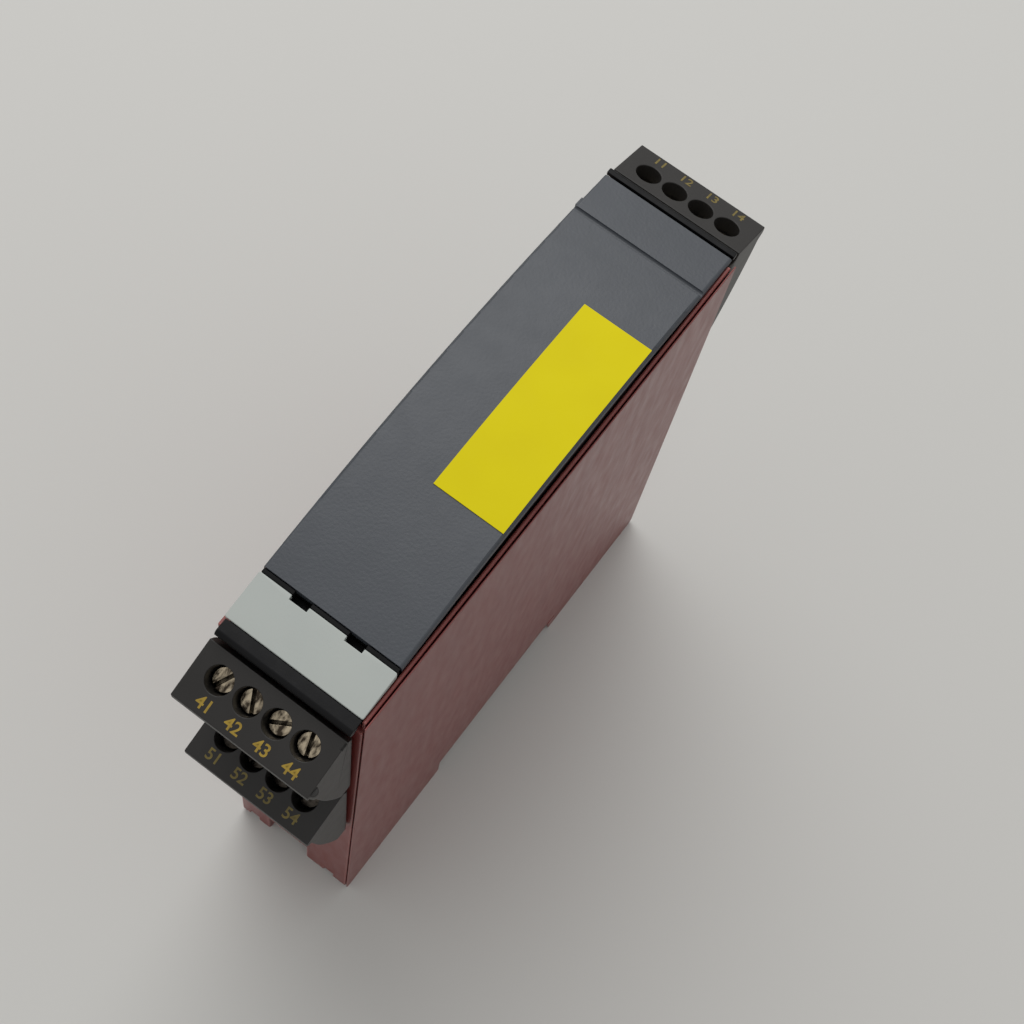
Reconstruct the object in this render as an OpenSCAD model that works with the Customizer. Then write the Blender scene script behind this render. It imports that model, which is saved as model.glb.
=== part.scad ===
// Signal isolator for a 35 mm mounting rail: a slim two-piece housing with a crowned front,
// plug-in screw terminals in two tiers at one end and in one at the other, and a sprung rail lock.
// X runs along the rail, Y along the housing, Z from the mounting face to the front.

/* [Housing] */
// Width of the housing along the rail
module_w = 23.5; // [21.5:0.1:30]
// Housing length at the front rim
body_l = 83.6; // [80:0.2:110]
// Height of the front rim above the mounting face
rim_z = 103; // [99:0.1:108]
// Outward lean of each end wall from rim to foot
end_lean = 2.8; // [0:0.1:3.4]
// Moulded wall thickness
wall = 1.2; // [1:0.05:1.7]
// Roundness of the foot's corners, seen from the side
foot_round = 1.2; // [0.5:0.1:3]
// Depth of the left wall's edge below the rim
left_drop = 2; // [1.5:0.1:2.5]
// Depth of the bar that closes the shell's rim beside the side cover
rim_bar_h = 4; // [2.5:0.1:4.5]

/* [Side cover] */
// Thickness of the lip along the cover's edge
cover_lip = 0.22; // [0.2:0.01:0.5]
// Shadow gap between the shell's rim and the cover's lip
seam = 0.22; // [0.1:0.02:0.35]

/* [Front] */
// How far the front and the blocks stay inside the side cover's face
front_inset = 1; // [0.6:0.05:1.2]
// How far the front and the blocks stay inside the shell's left face
left_inset = 0.7; // [0.4:0.05:1]
// Highest point of the crowned front above the rim
crown_rise = 4.5; // [4:0.1:7]
// Height of the crowned front above the rim at its ends
crown_end = 0.8; // [0.7:0.05:1.5]
// Thickness of the front cover and the tag plate
cover_t = 1.4; // [1:0.05:1.8]
// Roundness of the cover's long edges
cover_round = 0.45; // [0.2:0.05:0.6]
// Length of the tag plate along the housing
tag_l = 7; // [5:0.1:9]
// Corner radius of the tag plate
tag_corner = 0.3; // [0.2:0.1:1.5]
// Width of each pry notch between tag plate and cover
notch_w = 2.75; // [1.5:0.05:4]
// Depth of each pry notch into the tag plate
notch_l = 0.65; // [0.4:0.05:1.2]
// Distance between the pry notches
notch_span = 8.7; // [6:0.1:12]
// Place of the finger groove from the middle of the housing
groove_y = 34; // [25:0.5:38]
// Width of the finger groove
groove_w = 0.9; // [0.5:0.1:1.5]
// How far the cover reaches past the frame's deck at its far end
cover_over = 0.9; // [0.3:0.05:1]
// Radius of the rolled bar at the near end of the front
roll_r = 0.75; // [0.5:0.05:1]
// Radius of the rolled bar at the far end of the front
far_roll_r = 0.55; // [0.4:0.05:0.6]

/* [Label] */
// Label length along the housing
label_l = 33.7; // [15:0.1:40]
// Label width
label_w = 11.1; // [6:0.1:11.5]
// Middle of the label along the housing
label_y = 4.8; // [-8:0.1:8]
// Label thickness
label_t = 0.12; // [0.08:0.01:0.2]

/* [Terminal blocks] */
// Distance from a block's side to its outermost clamp cell
pole_margin = 1.8; // [1.2:0.05:2]
// How far a block stands out from its back face
block_reach = 9.3; // [9:0.1:12]
// Depth of the upper blocks' outer top edge below the rim
block_sink = 4.5; // [4.2:0.1:8]
// Gap between the upper and the lower block
tier_gap = 0.3; // [0.2:0.1:3]
// Height of a block below its outer top edge
block_drop = 23.6; // [20:0.1:25]
// How far a block's foot stands out from its back face
block_foot = 2.6; // [2.4:0.1:4]
// Slope of a block's top face, square to its screws
block_tilt = 21.8; // [18:0.2:22]
// Radius of the curved wire-entry face
entry_face_r = 90; // [70:1:200]
// How far the far block is drawn out of its seat
far_block_out = 0.75; // [0:0.05:1]
// Distance from a block's back face to its screws at the top face
screw_u = 4.6; // [4.5:0.02:5.4]
// Diameter of a screw well
well_d = 3.9; // [3.5:0.05:4.1]
// Diameter of a screw head
head_d = 3.3; // [2.8:0.05:3.4]
// Height of a screw head
head_h = 1.9; // [1.4:0.05:2]
// Depth of the screw heads in the wells
head_sink = 2.4; // [0.5:0.1:2.5]
// Diameter of a screw shank
shank_d = 2.5; // [2:0.05:2.6]
// Diameter of a wire entry
wire_d = 3.6; // [2.8:0.05:3.8]

/* [Clamps and contacts] */
// Plastic and play between neighbouring clamp cages
pole_web = 1.25; // [1.1:0.05:1.5]
// Clamp cage length along the wire
cage_d = 5.2; // [4:0.1:5.4]
// Clamp cage height along the screw
cage_h = 7.2; // [6.6:0.1:7.4]
// Depth of the cage's top below the block's top face
cage_sink = 8; // [7.8:0.05:8.4]
// Thickness of the cage's threaded top
cage_top_t = 2; // [1.2:0.1:2.2]
// Thickness of the cage's side and floor straps
cage_strap = 0.5; // [0.4:0.05:0.7]
// Length of a block's plug nose
nose_l = 6.5; // [5.5:0.1:7.5]
// Header pin thickness
pin_t = 1; // [0.6:0.05:1.2]

/* [Circuit board] */
// Gap between the board's ends and the pin headers
board_end_gap = 0.3; // [0.2:0.1:3]
// Gap between the board's top edge and the front frame
board_top_gap = 4.5; // [2:0.1:10]
// Board thickness
board_t = 1.6; // [1:0.1:1.8]
// Height of the bosses that carry the board
boss_h = 0.95; // [0.5:0.05:1]

/* [Rail foot] */
// Width of the mounting rail
rail_w = 35; // [34:0.1:36]
// Height of the face that sits on the rail
rail_seat_z = 5.8; // [5.4:0.1:6.2]
// How far the hook and the lock reach under the rail's edges
hook_reach = 1.8; // [1.2:0.1:2.2]
// Width of the lock's rib and of the notch in the foot
lock_w = 8; // [6:0.1:9]
// Sideways offset of the lock
lock_x = -1.5; // [-1.6:0.1:1.5]
// Travel of the lock when it is pulled
lock_travel = 2.6; // [2:0.1:3]

/* [Hidden] */
$fn = 48;

// Clearances shared by mating pieces
fit = 0.25;
slide_fit = 0.15;
seat_gap = 0.1;
cut = 1;

// Colours
red_plastic = "#7d2f2c";
slate_plastic = "#4f5257";
black_plastic = "#2f3033";
grey_plastic = "#a7aaa5";
yellow_film = "#d8cb12";
nickel = "#b9b3a4";
brass = "#b99b4a";
board_green = "#1f5a3a";
ferrite = "#3a3a3c";
copper = "#a5632d";
can_blue = "#26324f";
film_red = "#8c3a2c";
chip_black = "#1d1d1f";
resistor_tan = "#c2a878";
spring_steel = "#9a9c9f";

// Housing
left_x = -module_w / 2;
right_x = module_w / 2;
half_l = body_l / 2;
in_left = left_x + wall;
in_right = right_x - wall;
shell_right = right_x - cover_lip - seam;
rail_half = rail_w / 2 + fit - 0.05;
rail_floor = rail_seat_z + wall;
end_sill_z = rim_z - 3;
function end_y(z) = half_l + end_lean * (1 - z / rim_z);

// Front
front_left = left_x + left_inset;
front_right = right_x - front_inset;
front_x = (front_left + front_right) / 2;
front_half = (front_right - front_left) / 2;
front_end = half_l - 0.7;
crown_z = rim_z + crown_rise;
crown_sag = crown_rise - crown_end;
crown_r = (pow(front_end, 2) + pow(crown_sag, 2)) / (2 * crown_sag);
crown_axis_z = crown_z - crown_r;
front_base_z = rim_z + 0.3;
frame_edge = 0.15;
frame_step = 0.25;
tag_start = -front_end;
tag_stop = tag_start + tag_l;
rib_l = 0.6;
cover_start = tag_stop + rib_l + 2 * seat_gap;
cover_stop = front_end + cover_over;
tray_left = in_left + fit;
tray_right = in_right - fit;
tray_half_l = half_l - wall - fit;
tray_z = end_sill_z - 2.5;
tray_wall = 1.3;

// Terminal blocks
poles = 4;
block_gap = 0.12;
lip_h = 1.2;
lip_step = 1;
top_in = 1.3;
block_corner = 0.8;
pole_pitch = 2 * (front_half - pole_margin) / poles;
cage_w = pole_pitch - pole_web;
top_rise = (block_reach - top_in) * tan(block_tilt);
back_rise = block_sink - (rim_z - end_sill_z) - 0.6;
screw_v = (block_reach - screw_u) * tan(block_tilt);
upper_block_z = rim_z - block_sink;
block_z = [upper_block_z, upper_block_z - block_drop - top_rise - tier_gap];
function block_back(tier) = end_y(block_z[tier] - block_drop) + block_gap;
function pole_x(i) = (i - (poles - 1) / 2) * pole_pitch;
cage_mid = cage_sink + cage_h / 2;
cage_u = screw_u - cage_mid * sin(block_tilt);
cage_v = screw_v - cage_mid * cos(block_tilt);
cage_du = cage_d / 2 * cos(block_tilt) + cage_h / 2 * sin(block_tilt);
cage_dv = cage_d / 2 * sin(block_tilt) + cage_h / 2 * cos(block_tilt);
tunnel_w = cage_w + 2 * slide_fit;
tunnel_u = cage_u + cage_du + fit;
tunnel_low = cage_v - cage_dv - fit;
tunnel_high = cage_v + cage_dv + fit;
nose_wall = 0.35;
window_fit = 0.1;
nose_half = pole_x(poles - 1) + tunnel_w / 2 + nose_wall;
nose_low = tunnel_low - 2 * nose_wall;
nose_high = tunnel_high + nose_wall;
contact_v = cage_v - 0.5;
leaf_t = 0.35;
leaf_gap = pin_t / 2 + 0.05;
fork_u = -2.4;

// Headers and board
header_t = 1.6;
cheek_t = 0.6;
header_u = -nose_l - fit;
pin_tip_u = fork_u - 0.3;
pin_back_u = header_u - header_t - 4.6;
leg_step = 1.4;
leg_t = 0.8 * pin_t;
leg_out = 0.6;
board_back = in_right - boss_h;
board_face = board_back - board_t;
board_z = 13;
board_l = 2 * (half_l + header_u - header_t - board_end_gap);
board_h = tray_z - board_z - board_top_gap;
board_screw_d = 2.5;
board_screw_y = board_l / 2 - 8;
board_screw_z = [board_z + 6, board_z + board_h / 2];
lead_hole = 1.3 * pin_t;

// Rail lock
lock_half = lock_w / 2;
lock_flange = 1.2;
lock_slot_top = rail_seat_z - 1.05;
lock_slot_low = 2;
lock_tip_y = rail_half - hook_reach;
lock_tail_y = end_y(0) - 4.3;
lock_flange_y = lock_tail_y - 3.7;
notch_depth = 3.6;
stop_y = 30;
stop_l = 1.5;
spring_l = 7.4;
spring_w = 3;
spring_h = 1.4;
spring_wire = 0.4;
spring_bars = 8;
spring_z = (lock_slot_low + lock_slot_top) / 2 + 0.1;

// Extrudes an outline drawn as (Y, Z) along X between two places
module along_x(x0, x1) {
    translate([x0, 0, 0]) rotate([90, 0, 90]) linear_extrude(x1 - x0) children();
}

// Side outline of the housing, drawn in by an inset at both ends, between two heights
module side_outline(inset, z0, z1) {
    polygon([
        [-(end_y(z0) - inset), z0], [end_y(z0) - inset, z0],
        [end_y(z1) - inset, z1], [-(end_y(z1) - inset), z1]
    ]);
}

// Opening in the foot that takes the rail, with the fixed hook left standing at +Y
module rail_outline() {
    hook_top = lock_slot_top - slide_fit;
    hook_low = 3;
    polygon([
        [-rail_half, -cut], [-rail_half, rail_seat_z], [rail_half, rail_seat_z], [rail_half, hook_top],
        [rail_half - hook_reach, hook_top], [rail_half - hook_reach, hook_low], [rail_half - 0.6, -cut]
    ]);
}

// A strip of the crowned front: from radius r0 to r1, x0 to x1, between two places along Y
module crown_strip(r0, r1, x0, x1, y0, y1) {
    translate([0, 0, crown_axis_z]) intersection() {
        rotate([0, 90, 0]) translate([0, 0, x0]) difference() {
            cylinder(r = r1, h = x1 - x0, $fn = 360);
            if (r0 > 0) translate([0, 0, -cut]) cylinder(r = r0, h = x1 - x0 + 2 * cut, $fn = 360);
        }
        translate([x0 - cut, y0, front_base_z - crown_axis_z])
            cube([x1 - x0 + 2 * cut, y1 - y0, crown_r]);
    }
}

// Cuts that round the two long edges of a crowned plate
module crown_edge_rounds() {
    for (side = [-1, 1])
        translate([front_x, 0, crown_axis_z]) rotate([0, 90, 0]) rotate_extrude($fn = 360)
            translate([crown_r - cover_round, side * (front_half - cover_round)]) difference() {
                translate([0, side > 0 ? 0 : -2 * cover_round]) square(2 * cover_round);
                circle(r = cover_round);
            }
}

// Rectangle with round corners, centred
module round_rect(w, l, r) {
    square([w - 2 * r, l], center = true);
    square([w, l - 2 * r], center = true);
    for (sx = [-1, 1], sy = [-1, 1]) translate([sx * (w / 2 - r), sy * (l / 2 - r)]) circle(r = r);
}

// Puts a block's seat at one end and one tier; blocks are drawn with -Y pointing outwards
module at_seat(far, tier) {
    mirror([0, far, 0]) translate([front_x, -block_back(tier), block_z[tier]]) children();
}

// Puts a block and what it carries in its seat
module at_block(far, tier) {
    at_seat(far, tier) translate([0, -far * far_block_out, 0]) children();
}

// The three seats in turn
module each_seat() {
    for (seat = [[0, 0], [0, 1], [1, 0]]) at_seat(seat[0], seat[1]) children();
}

module each_pole() {
    for (i = [0 : poles - 1]) translate([pole_x(i), 0, 0]) children();
}

// Screw axis of a pole: +Z along the screw, zero at the block's top face, -Y along the wire
module at_screw() {
    translate([0, -screw_u, screw_v]) rotate([block_tilt, 0, 0]) children();
}

module housing_shell() {
    color(red_plastic) {
        difference() {
            along_x(left_x, shell_right) side_outline(0, 0, rim_z);
            along_x(in_left, right_x) side_outline(wall, rail_floor, rim_z + cut);
            foot_pockets();
            along_x(left_x - cut, right_x) rail_outline();
            end_openings();
            lock_channel();
            foot_notches();
            foot_corners();
            translate([left_x - cut, -body_l, rim_z - left_drop])
                cube([wall + 2 * cut, 2 * body_l, left_drop + cut]);
        }
        rim_bar();
        lock_stop();
    }
}

// Cuts that round the foot's corners at both ends
module foot_corners() {
    y = end_y(foot_round) - foot_round;
    for (far = [0, 1]) mirror([0, far, 0]) along_x(left_x - cut, right_x + cut) difference() {
        translate([-y - 2 * foot_round, -cut]) square([2 * foot_round, foot_round + cut]);
        translate([-y, foot_round]) circle(r = foot_round);
    }
}

// Bar along the shell's open side, behind the side cover's front edge
module rim_bar() {
    along_x(in_right + fit / 2, shell_right) side_outline(wall / 2, rim_z - rim_bar_h, rim_z);
}

// Hollows in the feet beside the rail opening and the lock
module foot_pockets() {
    lock_side = lock_half + lock_flange + slide_fit + wall;
    wall_y = rail_half + wall;
    far_end = end_y(rail_floor) - wall;
    far_y = rail_half + 2 * wall;
    translate([in_left, far_y, wall]) cube([right_x - in_left, far_end - far_y, rail_floor]);
    for (span = [[in_left, lock_x - lock_side], [lock_x + lock_side, right_x]])
        translate([span[0], -far_end, wall]) cube([span[1] - span[0], far_end - wall_y, rail_floor]);
}

// Low sill under the front frame and the windows for the plug noses
module end_openings() {
    for (far = [0, 1]) mirror([0, far, 0]) translate([in_left, -half_l - cut, end_sill_z])
        cube([right_x - in_left, wall + 2 * cut, rim_z]);
    each_seat() translate([-nose_half - window_fit, -cut, nose_low - fit])
        cube([2 * (nose_half + window_fit), wall + 4 * cut, nose_high - nose_low + 2 * fit]);
}

// T-shaped slot of the rail lock, and the screwdriver notch at the foot's end with a shallow relief above it
module lock_channel() {
    rib = lock_half + slide_fit;
    flange = rib + lock_flange;
    end_gap = lock_flange_y + lock_travel + fit;
    translate([lock_x - flange, -end_gap, lock_slot_low])
        cube([2 * flange, end_gap - rail_half + cut, lock_slot_top - lock_slot_low]);
    translate([lock_x - rib, -end_y(0) - cut, -cut])
        cube([2 * rib, end_y(0) - rail_half + 2 * cut, lock_slot_top + cut]);
    translate([lock_x - rib, -end_y(0) - cut, -cut]) cube([2 * rib, notch_depth + cut, rail_seat_z + cut]);
    translate([lock_x - rib, -end_y(0) - cut, 0]) cube([2 * rib, 0.75 * wall + cut, rail_floor + wall]);
}

// Small notches in the bottom edge of the near foot
module foot_notches() {
    notch = [2, 2.6, 3];
    for (x = [lock_x - 7.6, lock_x + 9])
        translate([x - notch[0] / 2, -end_y(0) - cut, -cut]) cube(notch + [0, cut, cut]);
}

// Peg above the lock that the return spring pushes against
module lock_stop() {
    w = 0.8 * spring_w;
    translate([lock_x - w / 2, -stop_y, lock_slot_low + 0.6])
        cube([w, stop_l, rail_floor - lock_slot_low - 0.6]);
}

// Bosses inside the side cover that carry the circuit board
module board_bosses() {
    for (sy = [-1, 1], z = board_screw_z)
        translate([in_right + wall / 2, sy * board_screw_y, z]) rotate([0, -90, 0]) difference() {
            cylinder(d = 2.2 * board_screw_d, h = wall / 2 + boss_h);
            cylinder(d = board_screw_d, h = wall + boss_h);
        }
}

module side_cover() {
    color(red_plastic) {
        difference() {
            union() {
                along_x(right_x - cover_lip, right_x) side_outline(0, 0, rim_z);
                along_x(in_right, right_x - cover_lip / 2)
                    side_outline(wall + fit, rail_floor + fit, rim_z - rim_bar_h - fit);
            }
            along_x(in_right - cut, right_x + cut) rail_outline();
            foot_corners();
        }
        board_bosses();
    }
}

module front_frame() {
    color(black_plastic) {
        difference() {
            union() {
                crown_strip(0, crown_r - cover_t - frame_step, front_left + frame_edge,
                    front_right - frame_edge, -front_end, front_end);
                crown_strip(0, crown_r - cover_t - seat_gap / 2, tray_left, tray_right,
                    -front_end, front_end);
                translate([tray_left, -tray_half_l, tray_z])
                    cube([tray_right - tray_left, 2 * tray_half_l, front_base_z - tray_z]);
                translate([front_left + frame_edge, -tray_half_l, rim_z - left_drop + fit])
                    cube([left_x - front_left + 2 * wall, 2 * tray_half_l, left_drop]);
            }
            frame_hollow();
            pry_notches(front_base_z - tray_wall);
        }
        frame_end(false);
        mirror([0, 1, 0]) frame_end(true);
        tag_rib();
    }
}

// Inside of the frame, open towards the circuit board
module frame_hollow() {
    deck = front_base_z - 1.5 * tray_wall;
    translate([tray_left + tray_wall, -tray_half_l + tray_wall, tray_z - cut])
        cube([tray_right - tray_left - 2 * tray_wall, 2 * (tray_half_l - tray_wall), deck - tray_z + cut]);
}

// Rolled bar over one end of the housing and the skirt that hangs behind it
module frame_end(far) {
    skirt_y = half_l + fit;
    skirt_t = 0.7;
    far_gap = 0.45;
    roll_short = far ? 0 : 0.35;
    r = far ? far_roll_r : roll_r;
    bar_start = far ? cover_stop + far_gap : front_end + seat_gap;
    bar_y = far ? bar_start + r : skirt_y + r;
    bar_top = front_base_z + 0.35;
    skirt_low = end_sill_z + fit;
    along_x(front_left + roll_short, front_right) {
        translate([-bar_y, bar_top - r]) circle(r = r);
        translate([-bar_y, front_base_z]) square([bar_y - bar_start, bar_top - front_base_z]);
    }
    along_x(tray_left, tray_right) {
        if (far) translate([-bar_y, skirt_low]) square([r - 0.1, front_base_z - skirt_low - 0.2]);
        if (!far) translate([-skirt_y - skirt_t, skirt_low]) square([skirt_t, front_base_z - skirt_low]);
        translate([far ? -bar_y : -skirt_y - skirt_t, skirt_low])
            square([wall + fit + (far ? bar_y : skirt_y + skirt_t) - half_l, 1.2 * tray_wall]);
    }
}

// Cross rib between cover and tag plate, open at the pry notches
module tag_rib() {
    difference() {
        crown_strip(crown_r - 2 * cover_t, crown_r - frame_step, front_left + frame_edge,
            front_right - frame_edge, tag_stop + seat_gap, tag_stop + seat_gap + rib_l);
        pry_notches(rim_z);
    }
}

// Cuts for the two pry notches, from a height upwards
module pry_notches(z) {
    for (side = [-1, 1])
        translate([front_x + side * notch_span / 2 - notch_w / 2, tag_stop - notch_l, z])
            cube([notch_w, notch_l + 2 * seat_gap + rib_l, crown_z]);
}

module front_cover() {
    nib = [0.25, 1.6, 0.25];
    color(slate_plastic) {
        difference() {
            crown_strip(crown_r - cover_t, crown_r, front_left, front_right, cover_start, cover_stop);
            crown_edge_rounds();
            groove_z = crown_axis_z + sqrt(pow(crown_r, 2) - pow(groove_y, 2));
            translate([front_left - cut, groove_y, groove_z]) rotate([0, 90, 0])
                cylinder(d = groove_w, h = 2 * (front_half + cut));
        }
        crown_strip(crown_r - cover_t + nib[2], crown_r - cover_round - 0.1, front_left - nib[0],
            front_left + nib[0], groove_y + groove_w, groove_y + groove_w + nib[1]);
    }
}

module tag_plate() {
    color(grey_plastic) difference() {
        intersection() {
            crown_strip(crown_r - cover_t, crown_r - 0.05, front_left, front_right, tag_start, tag_stop);
            translate([front_x, (tag_start + tag_stop) / 2, 0]) linear_extrude(crown_z + cut)
                round_rect(2 * front_half, tag_l, tag_corner);
        }
        pry_notches(rim_z);
    }
}

module front_label() {
    label_x = front_right - label_w - 0.35;
    color(yellow_film)
        crown_strip(crown_r + 0.02, crown_r + 0.02 + label_t, label_x, label_x + label_w,
            label_y - label_l / 2, label_y + label_l / 2);
}

// Solid of a block without its wells: a sloped top, an outer lip and a curved wire-entry face
module block_solid() {
    start = [block_reach - lip_step, -lip_h - lip_step];
    stop = [block_foot, -block_drop];
    chord = stop - start;
    half = norm(chord) / 2;
    inward = [chord[1], -chord[0]] / norm(chord);
    centre = (start + stop) / 2 + inward * sqrt(pow(entry_face_r, 2) - pow(half, 2));
    difference() {
        along_x(-module_w, module_w) polygon([
            [0, -block_drop], [-start[0], -block_drop], [-start[0], start[1]],
            [-block_reach, -lip_h], [-block_reach, 0], [-top_in, top_rise], [0, back_rise]
        ]);
        difference() {
            translate([-2 * module_w, -2 * block_reach, -2 * block_drop])
                cube([4 * module_w, 2 * block_reach - top_in, 2 * block_drop + start[1]]);
            translate([0, -centre[0], centre[1]]) rotate([0, 90, 0])
                cylinder(r = entry_face_r, h = 4 * module_w, center = true, $fn = 360);
        }
    }
}

// Plug-in block with screw wells, wire funnels and a tunnel for each clamp; a keyed one has a side lug
module plug_block(keyed) {
    color(black_plastic) difference() {
        union() {
            intersection() {
                block_solid();
                translate([0, -block_reach / 2 - cut, -block_drop - cut])
                    linear_extrude(block_drop + block_reach)
                        round_rect(2 * front_half, block_reach + 2 * cut, block_corner);
            }
            translate([-nose_half, -cut, nose_low]) cube([2 * nose_half, nose_l + cut, nose_high - nose_low]);
            if (keyed) side_lug();
        }
        if (keyed) top_slit();
        each_pole() {
            at_screw() {
                translate([0, 0, -head_sink - head_h - 0.75]) cylinder(d = well_d, h = block_reach);
                translate([0, 0, -cage_mid]) cylinder(d = shank_d + 2 * fit, h = cage_mid);
                translate([0, 0, -cage_sink - cage_top_t - wire_d / 2]) rotate([90, 0, 0]) {
                    cylinder(d = wire_d, h = 2 * block_reach);
                    translate([0, 0, wire_mouth() - 0.5]) cylinder(d1 = wire_d, d2 = wire_d + 2, h = 2);
                }
            }
            translate([-tunnel_w / 2, -tunnel_u, tunnel_low])
                cube([tunnel_w, tunnel_u + nose_l + cut, tunnel_high - tunnel_low]);
        }
        core_pocket();
    }
}

// Rounded lug on a block's right side, below its outer top edge
module side_lug() {
    lug_r = 0.75;
    translate([front_half - 0.1, -block_reach + 1.2, -lip_h - 0.6]) cylinder(r = lug_r, h = lip_h + 0.6);
}

// Short nick in the right edge of a block's top face, near its inner end
module top_slit() {
    slit = [0.3, 1.1, 0.5];
    at_screw() translate([front_half - slit[0], screw_u - top_in - slit[1], -slit[2]])
        cube(slit + [cut, 0, cut]);
}

// Distance along the wire from the screw axis to the outer face of a block
function wire_mouth() = block_reach - lip_step - screw_u + 3.1;

// Hollow that keeps the foot of a block at an even wall
module core_pocket() {
    depth = block_foot;
    pocket_top = nose_low - wall;
    translate([-front_half + wall, -depth + wall, -block_drop + wall])
        cube([2 * (front_half - wall), depth, pocket_top + block_drop - wall]);
}

// Slotted clamp screws of one block; heads lists how deep each sits and turns how it is turned
module clamp_screws(heads, turns) {
    color(nickel) for (i = [0 : poles - 1]) translate([pole_x(i), 0, 0]) at_screw() {
        tip = cage_sink + cage_top_t + 1;
        slot_w = 0.5;
        slot_h = 1.2;
        difference() {
            union() {
                translate([0, 0, -heads[i] - head_h]) cylinder(d = head_d, h = head_h);
                translate([0, 0, -tip]) cylinder(d = shank_d, h = tip - heads[i] - head_h / 2);
            }
            rotate([0, 0, turns[i]]) translate([-head_d, -slot_w / 2, -heads[i] - slot_h])
                cube([2 * head_d, slot_w, slot_h + cut]);
        }
    }
}

// Rising clamp cages of one block, each with a threaded top and an open window for the wire
module clamp_cages() {
    window_w = cage_w - 2 * cage_strap;
    window_h = cage_h - cage_top_t - 2 * cage_strap;
    color(brass) each_pole() at_screw() translate([0, 0, -cage_sink]) difference() {
        translate([-cage_w / 2, -cage_d / 2, -cage_h]) cube([cage_w, cage_d, cage_h]);
        translate([0, 0, -cage_h / 2]) cylinder(d = shank_d + 0.1, h = cage_h);
        translate([-window_w / 2, -cage_d, -cage_top_t - window_h]) cube([window_w, 2 * cage_d, window_h]);
    }
}

// Fork contacts of one block, each a tongue in the cage and two leaves for the header pin
module fork_contacts() {
    leaf_h = 1.6;
    tongue_t = 0.8;
    leaf_x = leaf_gap + leaf_t;
    color(brass) each_pole() translate([0, 0, contact_v]) {
        translate([-leaf_x, -cage_u - 0.9, -tongue_t / 2])
            cube([2 * leaf_x, cage_u + 0.9 - fork_u, tongue_t]);
        for (x = [-leaf_x, leaf_gap])
            translate([x, -fork_u - cut / 2, -leaf_h / 2]) cube([leaf_t, nose_l + fork_u, leaf_h]);
    }
}

// Pin header behind a block's nose, with cheeks that reach to the end wall
module pin_header() {
    low = nose_low - fit - cheek_t;
    high = nose_high + fit + cheek_t;
    wall_in = end_lean * (block_drop + high) / rim_z;
    cheek_l = -header_u - block_gap - wall - wall_in - fit;
    color(black_plastic) difference() {
        union() {
            translate([-nose_half, -header_u, low]) cube([2 * nose_half, header_t, high - low]);
            for (z = [low, high - cheek_t])
                translate([-nose_half, -header_u - cheek_l, z]) cube([2 * nose_half, cheek_l + cut, cheek_t]);
        }
        each_pole() translate([-pin_t / 2 - 0.05, -header_u - cut, contact_v - pin_t / 2 - 0.05])
            cube([pin_t + 0.1, header_t + 2 * cut, pin_t + 0.1]);
    }
}

// Distance of a pin's leg from its block's back face, stepped so that the legs pass each other
function leg_u(i) = pin_back_u - leg_step * (poles - 1 - i);

// Bent header pins of one block, from the forks to the circuit board
module header_pins() {
    color(brass) for (i = [0 : poles - 1]) translate([pole_x(i), 0, contact_v]) {
        translate([-pin_t / 2, -pin_tip_u, -pin_t / 2])
            cube([pin_t, pin_tip_u - leg_u(i) + leg_t / 2, pin_t]);
        translate([0, -leg_u(i) - leg_t / 2, -leg_t / 2])
            cube([board_back + leg_out - front_x - pole_x(i), leg_t, leg_t]);
    }
}

module circuit_board() {
    color(board_green) difference() {
        translate([board_face, -board_l / 2, board_z]) cube([board_t, board_l, board_h]);
        each_seat() for (i = [0 : poles - 1])
            translate([board_face - front_x - cut, -leg_u(i), contact_v]) rotate([0, 90, 0])
                cylinder(d = lead_hole, h = board_t + 2 * cut);
        for (sy = [-1, 1], z = board_screw_z) translate([board_face - cut, sy * board_screw_y, z])
            rotate([0, 90, 0]) cylinder(d = board_screw_d + fit, h = board_t + 2 * cut);
    }
}

module board_screws() {
    screw_gap = 0.03;
    color(nickel) for (sy = [-1, 1], z = board_screw_z)
        translate([board_face - screw_gap, sy * board_screw_y, z]) rotate([0, -90, 0]) difference() {
            union() {
                cylinder(d = 1.9 * board_screw_d, h = 1.6);
                translate([0, 0, -board_t - boss_h])
                    cylinder(d = board_screw_d - 0.1, h = board_t + boss_h + 0.1);
            }
            translate([-board_screw_d, -0.3, 0.8]) cube([2 * board_screw_d, 0.6, cut]);
        }
}

// Places a component on the board's face, at shares of its half length and of its height;
// +Z points away from the board
module on_board(along, up) {
    translate([board_face - seat_gap / 2, along * board_l / 2, board_z + up * board_h])
        rotate([0, -90, 0]) children();
}

core_size = [16, 20, 11];
core_limb = 4.6;
core_frame = 3;
core_lift = 2.2;
core_up = 0.49;

module transformer_core() {
    window_l = (core_size[1] - core_limb - 2 * core_frame) / 2;
    window_w = core_size[0] - 2 * core_frame;
    color(ferrite) on_board(0, core_up)
        translate([-core_size[0] / 2, -core_size[1] / 2, core_lift]) difference() {
            cube(core_size);
            for (y = [core_frame, core_frame + window_l + core_limb])
                translate([core_frame, y, -cut]) cube([window_w, window_l, core_size[2] + 2 * cut]);
        }
}

module transformer_coil() {
    coil_w = core_size[0] - 2 * core_frame - 2 * fit;
    coil_l = core_size[1] - 2 * core_frame - 2 * fit;
    coil_h = core_size[2] + 2 * core_lift;
    color(copper) on_board(0, core_up) difference() {
        translate([-coil_w / 2, -coil_l / 2, 0]) cube([coil_w, coil_l, coil_h]);
        translate([-coil_w, -core_limb / 2 - fit, core_lift - fit])
            cube([2 * coil_w, core_limb + 2 * fit, core_size[2] + 2 * fit]);
    }
}

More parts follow.
